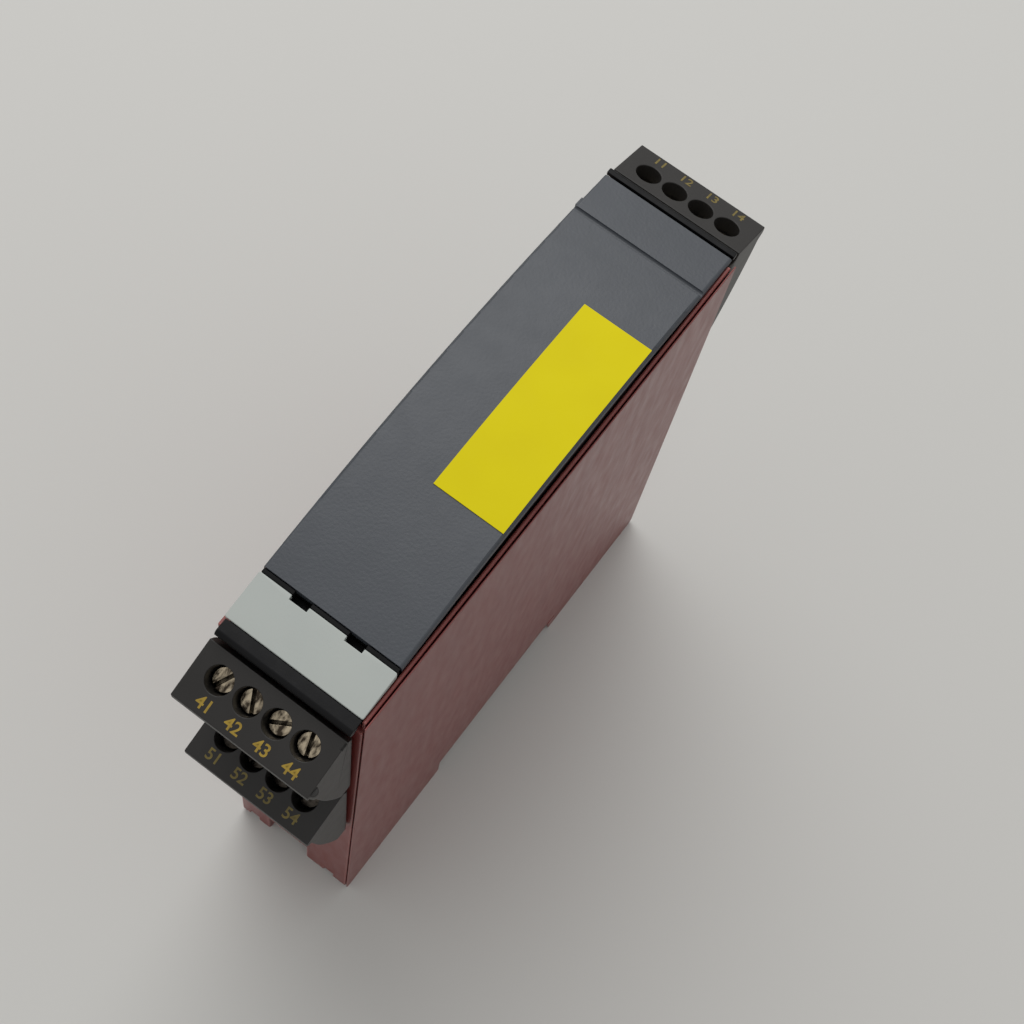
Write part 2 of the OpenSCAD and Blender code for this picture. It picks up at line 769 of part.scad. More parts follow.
module electrolytic_capacitors() {
    can_d = 8;
    can_h = 11.5;
    crimp_r = 0.4;
    crimp_z = 1.6;
    dish_h = 0.3;
    color(can_blue) for (along = [-0.57, -0.26]) on_board(along, 0.22) rotate_extrude()
        difference() {
            square([can_d / 2, can_h]);
            translate([can_d / 2, crimp_z]) circle(r = crimp_r);
            translate([0, can_h - dish_h]) square([can_d / 2 - 1, cut]);
        }
}

module film_capacitors() {
    film = [10, 4, 8.5];
    color(film_red) for (along = [0.27, 0.45, 0.63]) on_board(along, 0.21)
        translate([-film[0] / 2, -film[1] / 2, 0]) cube(film);
}

module amplifier_chips() {
    chip = [9.8, 6.4, 3.3];
    chip_lift = 0.6;
    leads = 4;
    lead_pitch = 2.54;
    lead = [0.5, 0.6, 2];
    color(chip_black) for (along = [-0.51, 0.51]) on_board(along, 0.74) {
        translate([0, 0, chip_lift]) difference() {
            translate([-chip[0] / 2, -chip[1] / 2, 0]) cube(chip);
            translate([chip[0] / 2, 0, chip[2] - 0.3]) cylinder(d = 1.6, h = cut);
        }
        for (side = [-1, 1], i = [0 : leads - 1])
            translate([(i - (leads - 1) / 2) * lead_pitch - lead[0] / 2,
                side * (chip[1] / 2 + 0.15) - lead[1] / 2, 0]) cube(lead);
    }
}

module resistors() {
    count = 6;
    step = 0.24;
    rod_d = 2.4;
    rod_l = 6.4;
    rod_z = 1.3;
    wire = 0.6;
    bend = rod_l / 2 + 1.2;
    color(resistor_tan) for (i = [0 : count - 1]) on_board((i - (count - 1) / 2) * step, 0.885) {
        translate([-rod_l / 2, 0, rod_z]) rotate([0, 90, 0]) cylinder(d = rod_d, h = rod_l);
        for (side = [-1, 1]) {
            translate([side * (rod_l / 2 + bend - 0.1) / 2, 0, rod_z])
                cube([bend - rod_l / 2 + 0.1, wire, wire], center = true);
            translate([side * (bend - wire / 2) - wire / 2, -wire / 2, 0])
                cube([wire, wire, rod_z + wire / 2]);
        }
    }
}

// Sliding lock: a T-section with a bevelled nose under the rail's edge and a slot for a screwdriver
module rail_lock() {
    flange = lock_half + lock_flange;
    top = lock_slot_top - slide_fit;
    low = lock_slot_low + slide_fit;
    rib_z = 0.3;
    bevel = 1.4;
    window_w = spring_w + 2 * fit;
    window_y = stop_y + slide_fit;
    window_l = spring_l + stop_l + 2 * slide_fit;
    color(black_plastic) translate([lock_x, 0, 0]) difference() {
        union() {
            along_x(-lock_half, lock_half) polygon([
                [-lock_tail_y, rib_z], [-lock_tip_y - bevel, rib_z], [-lock_tip_y, rib_z + 1.6],
                [-lock_tip_y, top], [-lock_tail_y, top]
            ]);
            translate([-flange, -lock_flange_y, low])
                cube([2 * flange, lock_flange_y - rail_half - fit, top - low]);
        }
        translate([-window_w / 2, -window_y, low + 0.2]) cube([window_w, window_l, top]);
        translate([-lock_half / 2, -lock_tail_y + 1.2, -cut]) cube([lock_half, 1.2, rail_seat_z]);
    }
}

// Flat zigzag return spring between the lock and the shell's peg
module lock_spring() {
    pitch = (spring_l - 2 * slide_fit - spring_wire) / (spring_bars - 1);
    bar_half = (spring_w - pitch - spring_wire) / 2;
    bend_r = (pitch + spring_wire) / 2;
    color(spring_steel)
        translate([lock_x, -stop_y + stop_l + slide_fit + spring_wire / 2, spring_z - spring_h / 2])
            linear_extrude(spring_h) for (i = [0 : spring_bars - 1]) translate([0, i * pitch]) {
                side = i % 2 == 0 ? 1 : -1;
                square([2 * bar_half + 0.1, spring_wire], center = true);
                if (i < spring_bars - 1) translate([side * bar_half, pitch / 2]) intersection() {
                    difference() {
                        circle(r = bend_r);
                        circle(r = bend_r - spring_wire);
                    }
                    translate([side > 0 ? 0 : -2 * bend_r, -2 * bend_r]) square([2 * bend_r, 4 * bend_r]);
                }
            }
}

deep = head_sink;
deeper = head_sink + 0.6;

housing_shell();
side_cover();
front_frame();
front_cover();
tag_plate();
front_label();
at_block(0, 0) plug_block(true);  // block_near_upper
at_block(0, 1) plug_block(false);  // block_near_lower
at_block(1, 0) plug_block(false);  // block_far
at_block(0, 0) clamp_screws([deep, deep, deep, deep], [63, -63, 29, -73]);  // screws_near_upper
at_block(0, 1) clamp_screws([deeper, deeper, deeper, deeper], [20, 75, -30, 48]);  // screws_near_lower
at_block(1, 0) clamp_screws([deep, deep, deep, deep], [35, -20, 70, -45]);  // screws_far
at_block(0, 0) clamp_cages();  // clamps_near_upper
at_block(0, 1) clamp_cages();  // clamps_near_lower
at_block(1, 0) clamp_cages();  // clamps_far
at_block(0, 0) fork_contacts();  // contacts_near_upper
at_block(0, 1) fork_contacts();  // contacts_near_lower
at_block(1, 0) fork_contacts();  // contacts_far
at_seat(0, 0) pin_header();  // header_near_upper
at_seat(0, 1) pin_header();  // header_near_lower
at_seat(1, 0) pin_header();  // header_far
at_seat(0, 0) header_pins();  // pins_near_upper
at_seat(0, 1) header_pins();  // pins_near_lower
at_seat(1, 0) header_pins();  // pins_far
circuit_board();
board_screws();
transformer_core();
transformer_coil();
electrolytic_capacitors();
film_capacitors();
amplifier_chips();
resistors();
rail_lock();
lock_spring();
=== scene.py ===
from math import radians

import bmesh
import bpy
from mathutils import Matrix, Vector
from mathutils.bvhtree import BVHTree
from mathutils.geometry import intersect_point_line


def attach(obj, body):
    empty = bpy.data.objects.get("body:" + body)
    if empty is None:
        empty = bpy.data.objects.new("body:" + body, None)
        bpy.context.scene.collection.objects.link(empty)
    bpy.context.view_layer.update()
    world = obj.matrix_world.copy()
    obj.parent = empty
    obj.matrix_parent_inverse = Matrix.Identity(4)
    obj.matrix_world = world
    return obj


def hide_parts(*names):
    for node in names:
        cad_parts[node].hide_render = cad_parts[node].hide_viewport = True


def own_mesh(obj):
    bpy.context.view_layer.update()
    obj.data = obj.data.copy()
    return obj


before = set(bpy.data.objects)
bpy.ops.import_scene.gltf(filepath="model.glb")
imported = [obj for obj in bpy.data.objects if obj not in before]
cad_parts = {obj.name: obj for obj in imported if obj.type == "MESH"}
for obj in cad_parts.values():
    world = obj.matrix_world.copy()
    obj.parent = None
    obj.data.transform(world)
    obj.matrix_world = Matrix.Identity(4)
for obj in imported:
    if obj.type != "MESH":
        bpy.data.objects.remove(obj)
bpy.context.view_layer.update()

# Housing shell: the tub of the two-piece case, with the left wall, the end walls and the rail foot.
# It is injection-moulded in brick-red ABS, and the mould leaves a small radius on every outer edge.
# The board and the front frame snap into it.
MM = 0.001
SHELL_EDGE_MM, SHELL_WEAR_AND_SHEEN_MM = 0.22, 0.45
# Faint upright streaks of the red's two shades on the walls: their size and stretch.
UPRIGHT_STREAK_MM, UPRIGHT_STREAK_STRETCH = 6.0, (1.0, 1.0, 0.3)
RED_ABS_SKIN = {
    "colour": "#75302c", "shade": "#712e2b", "wear_and_sheen_edge": "#b0706a",
    "roughness": 0.36, "gloss_spread": 0.05, "grain_mm": 0.35, "grain_depth_mm": 0.02,
    "cloud_mm": UPRIGHT_STREAK_MM, "stretch": UPRIGHT_STREAK_STRETCH,
}
# Most of a noise pattern lies between these two values.
NOISE_LOW, NOISE_HIGH = 0.3, 0.7
# How open a lightened edge and an untouched face are, seen from inside the plastic; the lightening
# is partly wear and partly painted highlight.
EDGE_OPENNESS, FACE_OPENNESS = 0.45, 0.95
OPENNESS_RAYS = 8
PLASTIC_IOR = 1.54
RUBS_PER_CLOUD = 3
# Places of the sockets on a colour mix, whose names are not unique.
MIX_SHARE, MIX_FIRST, MIX_SECOND, MIX_RESULT = 0, 6, 7, 2


def to_linear(hex_colour):
    channels = [int(hex_colour[i:i + 2], 16) / 255 for i in (1, 3, 5)]
    return [c / 12.92 if c <= 0.04045 else ((c + 0.055) / 1.055) ** 2.4 for c in channels] + [1.0]


def add_node(tree, kind, settings, inputs):
    node = tree.nodes.new(kind)
    for name, value in settings.items():
        setattr(node, name, value)
    for name, value in inputs.items():
        if isinstance(value, bpy.types.NodeSocket):
            tree.links.new(value, node.inputs[name])
        else:
            node.inputs[name].default_value = value
    return node


def empty_material(name):
    material = bpy.data.materials.new(name)
    material.use_nodes = True
    material.node_tree.nodes.clear()
    return material, material.node_tree


def grained_skin(name, colour, shade, roughness, grain_mm, grain_depth_mm, cloud_mm=14.0,
                 stretch=(1.0, 1.0, 1.0), gloss_spread=0.06, specular=0.5,
                 wear_and_sheen_edge=None, wear_and_sheen_mm=0.3):
    """A moulded, dipped, printed or ground skin: two close shades in soft clouds, a fine grain
    and uneven gloss. The real grain is finer, and is drawn as coarse as it needs to show.
    With a wear-and-sheen edge colour, its thin outer edges are lightened to that colour, partly as
    wear and partly as painted highlight."""
    material, tree = empty_material(name)
    place = add_node(tree, "ShaderNodeTexCoord", {}, {}).outputs["Object"]
    drawn = add_node(tree, "ShaderNodeMapping", {}, {"Vector": place, "Scale": stretch})
    clouds = add_node(tree, "ShaderNodeTexNoise", {}, {
        "Vector": drawn.outputs["Vector"], "Scale": 1 / (cloud_mm * MM), "Detail": 1.5,
    })
    tone = add_node(tree, "ShaderNodeMapRange", {}, {
        "Value": clouds.outputs["Fac"], "From Min": NOISE_LOW, "From Max": NOISE_HIGH,
    })
    skin = add_node(tree, "ShaderNodeMix", {"data_type": "RGBA"}, {
        MIX_SHARE: tone.outputs["Result"],
        MIX_FIRST: to_linear(shade), MIX_SECOND: to_linear(colour),
    }).outputs[MIX_RESULT]
    # Thin outer edges are lightened towards the edge colour: partly wear, partly painted highlight.
    if wear_and_sheen_edge:
        openness = add_node(tree, "ShaderNodeAmbientOcclusion", {
            "inside": True, "only_local": True, "samples": OPENNESS_RAYS,
        }, {"Distance": wear_and_sheen_mm * MM})
        edge_wear_and_sheen = add_node(tree, "ShaderNodeMapRange", {}, {
            "Value": openness.outputs["AO"], "From Min": EDGE_OPENNESS, "From Max": FACE_OPENNESS,
            "To Min": 1.0, "To Max": 0.0,
        })
        skin = add_node(tree, "ShaderNodeMix", {"data_type": "RGBA"}, {
            MIX_SHARE: edge_wear_and_sheen.outputs["Result"],
            MIX_FIRST: skin, MIX_SECOND: to_linear(wear_and_sheen_edge),
        }).outputs[MIX_RESULT]
    grain = add_node(tree, "ShaderNodeTexNoise", {}, {
        "Vector": place, "Scale": 1 / (grain_mm * MM), "Detail": 2.0,
    })
    rubbing = add_node(tree, "ShaderNodeTexNoise", {}, {
        "Vector": drawn.outputs["Vector"], "Scale": RUBS_PER_CLOUD / (cloud_mm * MM), "Detail": 3.0,
    })
    gloss = add_node(tree, "ShaderNodeMapRange", {}, {
        "Value": rubbing.outputs["Fac"], "From Min": NOISE_LOW, "From Max": NOISE_HIGH,
        "To Min": roughness - gloss_spread, "To Max": roughness + gloss_spread,
    })
    bump = add_node(tree, "ShaderNodeBump", {}, {
        "Height": grain.outputs["Fac"], "Strength": 0.6, "Distance": grain_depth_mm * MM,
    })
    shader = add_node(tree, "ShaderNodeBsdfPrincipled", {}, {
        "Base Color": skin, "Roughness": gloss.outputs["Result"],
        "Normal": bump.outputs["Normal"], "IOR": PLASTIC_IOR, "Specular IOR Level": specular,
    })
    add_node(tree, "ShaderNodeOutputMaterial", {}, {"Surface": shader.outputs["BSDF"]})
    return material


# Moulded ABS from a spark-eroded mould: a soft shine that turns to a mirror of the pale floor
# at a low angle, faint upright streaks in two shades on the walls, and edges lightened pink, partly
# wear and partly painted highlight.
red_abs = grained_skin(
    "red_moulded_abs", **RED_ABS_SKIN, specular=0.32, wear_and_sheen_mm=SHELL_WEAR_AND_SHEEN_MM,
)

# Corners closer than a sliver are one, and faces within the flat angle are one face.
# Outer edges sharper than a corner are rounded, and those sharper than a crease stay crisp.
SLIVER_MM = 0.001
FLAT_DEGREES, CORNER_DEGREES, CREASE_DEGREES = 0.1, 30, 38
# A fold faces away from all of the solid's skin within reach. Short edges that come within
# some edge widths of one are left sharp at the next try.
FOLD_REACH_MM, FACING_AWAY = 0.35, -0.2
FOLD_TRIES, SHORT_EDGE_MM, SPARED_WIDTHS = 4, 6.0, 1.5


def folded_corners(form, solid):
    """Corners of the triangles that lie the wrong way round on the CAD solid's skin."""
    cut = form.copy()
    bmesh.ops.triangulate(cut, faces=cut.faces)
    cut.normal_update()
    corners = []
    for face in cut.faces:
        near = solid.find_nearest_range(face.calc_center_median(), FOLD_REACH_MM * MM)
        if near and max(face.normal.dot(normal) for _, normal, _, _ in near) < FACING_AWAY:
            corners += [corner.co.copy() for corner in face.verts]
    cut.free()
    return corners


def is_spared(edge, folds, edge_mm):
    """True for a short edge whose rounding would reach a fold."""
    if edge.calc_length() >= SHORT_EDGE_MM * MM:
        return False
    start, end = (corner.co for corner in edge.verts)
    for spot in folds:
        along = intersect_point_line(spot, start, end)[1]
        nearest = start.lerp(end, min(max(along, 0.0), 1.0))
        if (spot - nearest).length < SPARED_WIDTHS * edge_mm * MM:
            return True
    return False


def softened(node, suffix, material, edge_mm, body="housing"):
    """Stands for a CAD node with the same form, whose outer edges are rounded a little."""
    cad_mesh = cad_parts[node].data
    solid = BVHTree.FromPolygons(
        [corner.co for corner in cad_mesh.vertices], [face.vertices for face in cad_mesh.polygons],
    )
    folds = []
    for attempt in range(FOLD_TRIES):
        form = bmesh.new()
        form.from_mesh(cad_mesh)
        bmesh.ops.remove_doubles(form, verts=form.verts, dist=SLIVER_MM * MM)
        bmesh.ops.dissolve_limit(
            form, angle_limit=radians(FLAT_DEGREES), verts=form.verts, edges=form.edges,
        )
        outer = [
            edge for edge in form.edges
            if len(edge.link_faces) == 2
            and edge.calc_face_angle_signed(0.0) > radians(CORNER_DEGREES)
            and not is_spared(edge, folds, edge_mm)
        ]
        bmesh.ops.bevel(
            form, geom=outer, offset=edge_mm * MM, offset_type="OFFSET", segments=2, profile=0.5,
            affect="EDGES", clamp_overlap=False,
        )
        new_folds = folded_corners(form, solid)
        if not new_folds or attempt == FOLD_TRIES - 1:
            break
        folds += new_folds
        form.free()
    # Slivers are cleared only where that makes no new fold.
    cleared = form.copy()
    bmesh.ops.dissolve_degenerate(cleared, dist=SLIVER_MM * MM, edges=cleared.edges)
    if not folded_corners(cleared, solid):
        form, cleared = cleared, form
    cleared.free()
    mesh = bpy.data.meshes.new(node + suffix)
    form.to_mesh(mesh)
    form.free()
    mesh.shade_smooth()
    mesh.set_sharp_from_angle(angle=radians(CREASE_DEGREES))
    mesh.materials.append(material)
    piece = bpy.data.objects.new(node + suffix, mesh)
    bpy.context.scene.collection.objects.link(piece)
    piece.modifiers.new("even_shading", "WEIGHTED_NORMAL").keep_sharp = True
    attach(piece, body)
    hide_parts(node)
    return piece


softened("housing_shell", "_moulded", red_abs, SHELL_EDGE_MM)

# Side cover: the flat red lid that closes the right side and carries the board on its bosses.
# It is moulded in the same red ABS, and snaps into the shell with a narrow seam all round.
LID_EDGE_MM, LID_WEAR_AND_SHEEN_MM = 0.09, 0.11
# The same plastic, its edges lightened in a finer line because the lip of the lid is thin; the
# lightening is partly wear and partly painted highlight.
red_lid_abs = grained_skin("red_moulded_abs_lid", **RED_ABS_SKIN, wear_and_sheen_mm=LID_WEAR_AND_SHEEN_MM)
softened("side_cover", "_moulded", red_lid_abs, LID_EDGE_MM)

# Circuit board: glass-fibre laminate with etched copper tracks under a green solder mask.
# It stands upright along the housing, on the bosses of the side cover.
TRACK_MM, TRACK_RISE_MM = 0.5, 0.04
TRACK_CELL_LENGTH_MM, TRACK_CELL_HEIGHT_MM = 7.0, 2.2
MASK_GREEN, MASK_GREEN_SHADE, TRACK_GREEN = "#1c5536", "#1a4f32", "#2f7a4c"


def dress(node, material):
    """Gives a CAD node its finish."""
    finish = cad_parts[node].data.materials
    finish.clear()
    finish.append(material)


# Solder mask: a glossy green lacquer that shows the tracks below as lighter, raised lines.
solder_mask, tree = empty_material("green_solder_mask")
place = add_node(tree, "ShaderNodeTexCoord", {}, {}).outputs["Object"]
upright = add_node(tree, "ShaderNodeMapping", {}, {
    "Vector": place, "Rotation": (0.0, radians(90), 0.0),
})
tracks = add_node(tree, "ShaderNodeTexBrick", {}, {
    "Vector": upright.outputs["Vector"], "Scale": 1.0,
    "Color1": to_linear(MASK_GREEN), "Color2": to_linear(MASK_GREEN_SHADE),
    "Mortar": to_linear(TRACK_GREEN), "Mortar Size": TRACK_MM * MM / 2, "Mortar Smooth": 0.2,
    "Brick Width": TRACK_CELL_LENGTH_MM * MM, "Row Height": TRACK_CELL_HEIGHT_MM * MM,
})
relief = add_node(tree, "ShaderNodeBump", {}, {
    "Height": tracks.outputs["Fac"], "Strength": 0.7, "Distance": TRACK_RISE_MM * MM,
})
lacquer = add_node(tree, "ShaderNodeBsdfPrincipled", {}, {
    "Base Color": tracks.outputs["Color"], "Roughness": 0.28,
    "Normal": relief.outputs["Normal"], "IOR": 1.5,
})
add_node(tree, "ShaderNodeOutputMaterial", {}, {"Surface": lacquer.outputs["BSDF"]})
dress("circuit_board", solder_mask)

# Board screws: four small slotted steel screws, turned and nickel plated.
# They hold the board to the bosses of the side cover.
BOARD_SCREW_EDGE_MM = 0.06
GRIME_AND_SHADE, GRIME_AND_SHADE_REACH_MM = "#15120f", 0.7
# How open a recess darkened with grime and painted shade, and a clean face, are.
RECESS_OPENNESS, CLEAN_OPENNESS = 0.35, 0.8
# Share of the tool-mark pattern below which the metal is dark, and above which it is bright; on the
# nickel plate these tones are partly painted reflection.
DARK_MARK, BRIGHT_MARK = 0.4, 0.62


def worn_metal(name, colour, shade, rough_low, rough_high, mark_mm, mark_depth_mm,
               stretch=(1.0, 1.0, 1.0)):
    """A plated or bare metal: two tones, fine tool marks, uneven gloss, and recesses darkened
    partly as grime and partly as painted shade.
    """
    material, tree = empty_material(name)
    place = add_node(tree, "ShaderNodeTexCoord", {}, {}).outputs["Object"]
    drawn = add_node(tree, "ShaderNodeMapping", {}, {"Vector": place, "Scale": stretch})
    marks = add_node(tree, "ShaderNodeTexNoise", {}, {
        "Vector": drawn.outputs["Vector"], "Scale": 1 / (mark_mm * MM), "Detail": 3.0,
    })
    tone = add_node(tree, "ShaderNodeMapRange", {}, {
        "Value": marks.outputs["Fac"], "From Min": DARK_MARK, "From Max": BRIGHT_MARK,
    })
    tint = add_node(tree, "ShaderNodeMix", {"data_type": "RGBA"}, {
        MIX_SHARE: tone.outputs["Result"],
        MIX_FIRST: to_linear(shade), MIX_SECOND: to_linear(colour),
    })
    # Recesses are darkened towards the grime colour: partly dirt, partly painted shade.
    openness = add_node(tree, "ShaderNodeAmbientOcclusion", {
        "only_local": True, "samples": OPENNESS_RAYS,
    }, {"Distance": GRIME_AND_SHADE_REACH_MM * MM})
    grime_and_shade = add_node(tree, "ShaderNodeMapRange", {}, {
        "Value": openness.outputs["AO"], "From Min": RECESS_OPENNESS, "From Max": CLEAN_OPENNESS,
        "To Min": 1.0, "To Max": 0.0,
    })
    soiled_and_shaded = add_node(tree, "ShaderNodeMix", {"data_type": "RGBA"}, {
        MIX_SHARE: grime_and_shade.outputs["Result"],
        MIX_FIRST: tint.outputs[MIX_RESULT], MIX_SECOND: to_linear(GRIME_AND_SHADE),
    })
    gloss = add_node(tree, "ShaderNodeMapRange", {}, {
        "Value": marks.outputs["Fac"], "From Min": NOISE_LOW, "From Max": NOISE_HIGH,
        "To Min": rough_low, "To Max": rough_high,
    })
    bump = add_node(tree, "ShaderNodeBump", {}, {
        "Height": marks.outputs["Fac"], "Strength": 0.5, "Distance": mark_depth_mm * MM,
    })
    shader = add_node(tree, "ShaderNodeBsdfPrincipled", {}, {
        "Base Color": soiled_and_shaded.outputs[MIX_RESULT], "Metallic": 1.0,
        "Roughness": gloss.outputs["Result"], "Normal": bump.outputs["Normal"],
    })
    add_node(tree, "ShaderNodeOutputMaterial", {}, {"Surface": shader.outputs["BSDF"]})
    return material


# Nickel-plated steel: bright and slightly warm, with dark and bright blotches that are partly the
# scuffs a driver leaves and partly painted reflection.
nickel_plate = worn_metal(
    "nickel_plated_steel", "#cbbca2", "#413930", rough_low=0.1, rough_high=0.26,
    mark_mm=1.0, mark_depth_mm=0.1, stretch=(1.4, 0.6, 1.0),
)
softened("board_screws", "_turned", nickel_plate, BOARD_SCREW_EDGE_MM)

# Isolating transformer: a ferrite core, pressed, fired and ground, closed round a wound coil.
# The coil is enamelled copper wire in close turns, and its ends are soldered to the board.
CORE_EDGE_MM = 0.2
WIRE_MM, WIRE_RELIEF_MM = 0.6, 0.2
COPPER, COPPER_SHADE = "#b06c33", "#5c3115"
# Length of one band of the wave pattern at a scale of 1, and its dark and bright levels.
WAVE_BAND = 0.314
WIRE_GAP, WIRE_CREST = 0.1, 0.8
# Ground ferrite: a dull dark grey ceramic with a fine speckle.
ferrite = grained_skin(
    "ground_ferrite", "#3a3a3c", "#303032", roughness=0.5, grain_mm=0.25, grain_depth_mm=0.015,
    cloud_mm=2.0,
)
softened("transformer_core", "_ground", ferrite, CORE_EDGE_MM)
# Enamelled copper: bright orange-brown crests, with painted shade as dark lines between the turns.
copper_turns, tree = empty_material("enamelled_copper_wire")
place = add_node(tree, "ShaderNodeTexCoord", {}, {}).outputs["Object"]
turns = add_node(tree, "ShaderNodeTexWave", {"bands_direction": "Z"}, {
    "Vector": place, "Scale": WAVE_BAND / (WIRE_MM * MM), "Distortion": 0.4, "Detail": 1.0,
})
tone = add_node(tree, "ShaderNodeMapRange", {}, {
    "Value": turns.outputs["Fac"], "From Min": WIRE_GAP, "From Max": WIRE_CREST,
})
tint = add_node(tree, "ShaderNodeMix", {"data_type": "RGBA"}, {
    MIX_SHARE: tone.outputs["Result"],
    MIX_FIRST: to_linear(COPPER_SHADE), MIX_SECOND: to_linear(COPPER),
})
ridges = add_node(tree, "ShaderNodeBump", {}, {
    "Height": turns.outputs["Fac"], "Strength": 0.8, "Distance": WIRE_RELIEF_MM * MM,
})
enamel = add_node(tree, "ShaderNodeBsdfPrincipled", {}, {
    "Base Color": tint.outputs[MIX_RESULT], "Roughness": 0.28,
    "Normal": ridges.outputs["Normal"], "Metallic": 0.6,
})
add_node(tree, "ShaderNodeOutputMaterial", {}, {"Surface": enamel.outputs["BSDF"]})
dress("transformer_coil", copper_turns)

# Small parts on the board: sleeved electrolytic cans, dipped film capacitors, epoxy chips
# and lacquered resistors, all soldered on before the board goes in.
CAN_EDGE_MM, FILM_EDGE_MM, CHIP_EDGE_MM = 0.12, 0.4, 0.1
# Shrink sleeve: a thin dark blue film with a clear shine.
sleeve = grained_skin(
    "blue_shrink_sleeve", "#26324f", "#1f2a44", roughness=0.26, grain_mm=0.9,
    grain_depth_mm=0.012, cloud_mm=5.0,
)
softened("electrolytic_capacitors", "_sleeved", sleeve, CAN_EDGE_MM)
# Dipped epoxy: a glossy brick-red coat, a little lumpy where it ran before it set.
dipped_epoxy = grained_skin(
    "red_dipped_epoxy", "#8c3a2c", "#783024", roughness=0.22, grain_mm=1.2,
    grain_depth_mm=0.05, cloud_mm=3.0,
)
softened("film_capacitors", "_dipped", dipped_epoxy, FILM_EDGE_MM)
# Chip epoxy: a matt black with the fine grain of its mould.
chip_epoxy = grained_skin(
    "black_chip_epoxy", "#1f1f21", "#18181a", roughness=0.5, grain_mm=0.2,
    grain_depth_mm=0.012, cloud_mm=2.0,
)
softened("amplifier_chips", "_moulded", chip_epoxy, CHIP_EDGE_MM)
# Resistor lacquer: a smooth tan coat, slightly cloudy.
resistor_lacquer = grained_skin(
    "tan_resistor_lacquer", "#c2a878", "#ad9262", roughness=0.28, grain_mm=0.6,
    grain_depth_mm=0.015, cloud_mm=1.5,
)
dress("resistors", resistor_lacquer)

# Pin headers: moulded black polyamide strips soldered to the board, with bent brass pins.
# The plug-in terminal blocks are pushed on to the pins from outside.
BLOCKS = ("near_upper", "near_lower", "far")
# Glass-filled polyamide: a dull satin skin, dark grey rather than black, faintly cloudy.
black_polyamide = grained_skin(
    "black_moulded_polyamide", "#272523", "#23211f", roughness=0.46, grain_mm=0.3,
    grain_depth_mm=0.022, cloud_mm=6.0, gloss_spread=0.015, specular=0.36,
)
# Punched brass: warm yellow sheet metal, with rolling marks that run along the strip.
bare_brass = worn_metal(
    "punched_brass", "#c4a557", "#9a7d3a", rough_low=0.26, rough_high=0.42,
    mark_mm=0.5, mark_depth_mm=0.02, stretch=(1.0, 0.2, 1.0),
)
for block in BLOCKS:
    dress("header_" + block, black_polyamide)
    dress("pins_" + block, bare_brass)

# Front frame: the black bezel that carries the cover and the tag plate, and closes the front.
# It is moulded in ABS with a rolled bar at each end, and snaps into the shell.
FRAME_EDGE_MM = 0.07
# Satin black ABS: deeper and smoother than the polyamide of the blocks beside it.
black_abs = grained_skin(
    "black_moulded_abs", "#151516", "#121213", roughness=0.42, grain_mm=0.3,
    grain_depth_mm=0.015, cloud_mm=6.0, specular=0.1,
)
softened("front_frame", "_moulded", black_abs, FRAME_EDGE_MM)

# Front cover: the long crowned lid with a finger groove near its far end.
# It is moulded in slate-grey polycarbonate, and clips into the front frame.
# Grained polycarbonate: a dull slate skin with a leather-fine grain that breaks up the shine.
slate_polycarbonate = grained_skin(
    "slate_moulded_polycarbonate", "#3a3e44", "#373b41", roughness=0.48, grain_mm=0.45,
    grain_depth_mm=0.05, cloud_mm=9.0, gloss_spread=0.02,
)
dress("front_cover", slate_polycarbonate)

# Tag plate: the light grey writing plate at the near end.
# It is moulded in plain ABS, and is pushed into the front frame.
TAG_EDGE_MM = 0.12
# Satin ABS: pale, even and smooth enough to write on.
grey_abs = grained_skin(
    "light_grey_satin_abs", "#aaafaa", "#a6aba7", roughness=0.36, grain_mm=0.5,
    grain_depth_mm=0.01,
)
softened("tag_plate", "_moulded", grey_abs, TAG_EDGE_MM)

# Front label: a plain strip of bright yellow vinyl film, cut square.
# It is stuck to the cover with its own adhesive.
# Coated vinyl: even and nearly matt, and it shows a little of the grain below it.
yellow_vinyl = grained_skin(
    "yellow_coated_vinyl", "#d4c608", "#d1c207", roughness=0.5, grain_mm=0.8,
    grain_depth_mm=0.012, cloud_mm=8.0, gloss_spread=0.02, specular=0.08,
)
dress("front_label", yellow_vinyl)

# Plug-in terminal blocks: black polyamide with a round screw well for each of four poles.
# Two sit at the near end, one above the other, and one at the far end.
# Each is moulded in one piece and pushed on to the pins of its header.
BLOCK_EDGE_MM = 0.14
block_pieces = {
    block: softened("block_" + block, "_moulded", black_polyamide, BLOCK_EDGE_MM)
    for block in BLOCKS
}

# Terminal numbers: one beside each screw, on the sloped top of each block.
# They are pad-printed in a thin skin of golden ink, drawn darker on two of the blocks, which on the
# lower near block is painted shade.
INK_MM, STROKE_MM, INK_WELD_MM = 0.02, 0.035, 0.0005
POLE_X_MM = (-6.975, -2.425, 2.125, 6.675)
# Height from which a plumb line finds each number's place on the sloped top.
ABOVE_ALL_MM = 200.0
# For each block: the numbers, the place of the row in Y, its shift in X and the digits' height.
NUMBER_ROWS = {
    "near_upper": (("41", "42", "43", "44"), -50.6, 0.25, 2.45),
    "near_lower": (("51", "52", "53", "54"), -51.05, -0.15, 2.45),
    "far": (("11", "12", "13", "14"), 51.45, 0.0, 2.2),
}
# Pad-print ink: a matt golden film, uneven where the pad left less of it.
gold_ink = grained_skin(
    "gold_pad_print", "#a08426", "#8a701c", roughness=0.5, grain_mm=0.3,
    grain_depth_mm=0.008, cloud_mm=0.8,
)
